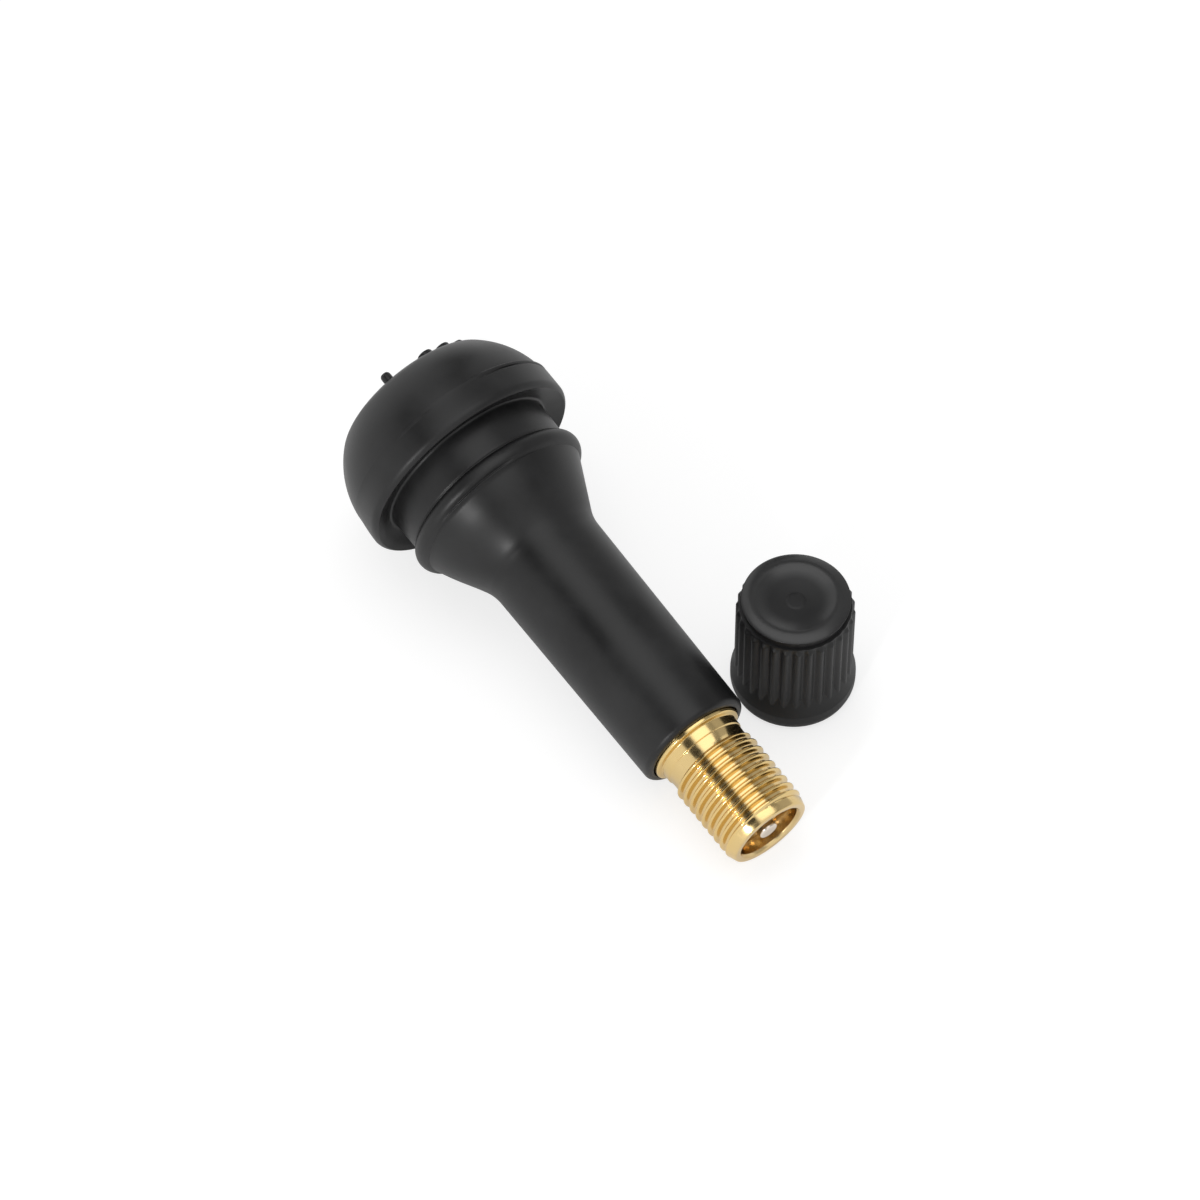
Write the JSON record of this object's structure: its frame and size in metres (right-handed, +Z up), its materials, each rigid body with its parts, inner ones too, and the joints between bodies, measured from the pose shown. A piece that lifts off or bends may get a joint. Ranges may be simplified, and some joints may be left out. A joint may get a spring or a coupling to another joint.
{
  "type": "tyre valve",
  "caption": "Snap-in rubber tyre valve with a threaded brass stem, a screw-in spring-loaded core and a ribbed plastic dust cap standing beside it.",
  "frame": {"origin": "on the floor, under the middle of the box that holds the valve and its cap", "axes": "+Z up; +X along the lying valve from the bulb to the brass tip; +Y towards the side where the cap stands"},
  "size_m": [0.05, 0.0274, 0.0199],
  "materials": {
    "black_rubber": "satin moulded rubber",
    "turned_brass": "bright turned",
    "core_brass": "bright turned",
    "red_seal": "satin",
    "black_seal": "matt",
    "bright_steel": "bright",
    "spring_steel": "drawn wire",
    "black_plastic": "satin moulded plastic"
  },
  "bodies": {
    "valve": {"rubber_body": "black_rubber", "brass_stem": "turned_brass", "valve_cap": "black_plastic"},
    "core": {"core_barrel": "core_brass", "core_gasket": "red_seal", "core_spring": "spring_steel"},
    "plug": {"core_plug": "core_brass"},
    "pin": {"core_pin": "bright_steel", "pin_cup": "core_brass", "cup_seal": "black_seal"}
  },
  "joints": [
    {"name": "core_lift", "type": "slide", "parent": "valve", "child": "core", "axis": [0.9888, 0, -0.1495], "range_m": [0, 0.00353]},
    {"name": "plug_turn", "type": "hinge", "parent": "core", "child": "plug", "pos_m": [0.02318, -0.00382, 0.00387], "axis": [0.9888, 0, -0.1495], "range_deg": [0, 1800]},
    {"name": "pin_press", "type": "slide", "parent": "core", "child": "pin", "axis": [-0.9888, 0, 0.1495], "range_m": [0, 0.0015], "stiffness_N_per_m": 800, "deforming": ["core_spring"]}
  ],
  "couplings": [
    {"joint": "plug_turn", "follows": "core_lift", "rad_per_m": 8905.3}
  ]
}
